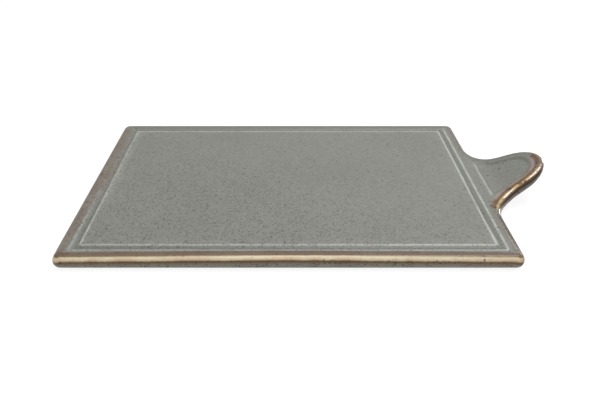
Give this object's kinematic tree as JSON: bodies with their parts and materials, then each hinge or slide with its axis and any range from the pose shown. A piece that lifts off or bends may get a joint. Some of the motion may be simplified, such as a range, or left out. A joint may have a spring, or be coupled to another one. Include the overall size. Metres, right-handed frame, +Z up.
{
  "type": "cheese plate",
  "caption": "Rectangular glazed stoneware cheese plate with a grooved border, rounded edge, bare foot ring and an upswept tongue handle with a thumb recess, for serving cheese.",
  "frame": {"origin": "table height, under the middle of the whole length from the plate's left edge to the handle's tip", "axes": "+X along the length towards the handle, +Y from front to back, +Z up"},
  "size_m": [0.3256, 0.2, 0.027],
  "materials": {
    "bare_stoneware": "unglazed, ground smooth on the foot",
    "grey_glaze": "satin, fine dark speckle, paler where it thins on edges",
    "rim_glaze": "glossy, breaking from brown to cream round the edge",
    "base_glaze": "satin, brown grey"
  },
  "bodies": {
    "root": {"stoneware_body": "bare_stoneware", "top_glaze": "grey_glaze", "rim_glaze": "rim_glaze", "under_glaze": "base_glaze", "well_glaze": "base_glaze"}
  },
  "joints": []
}
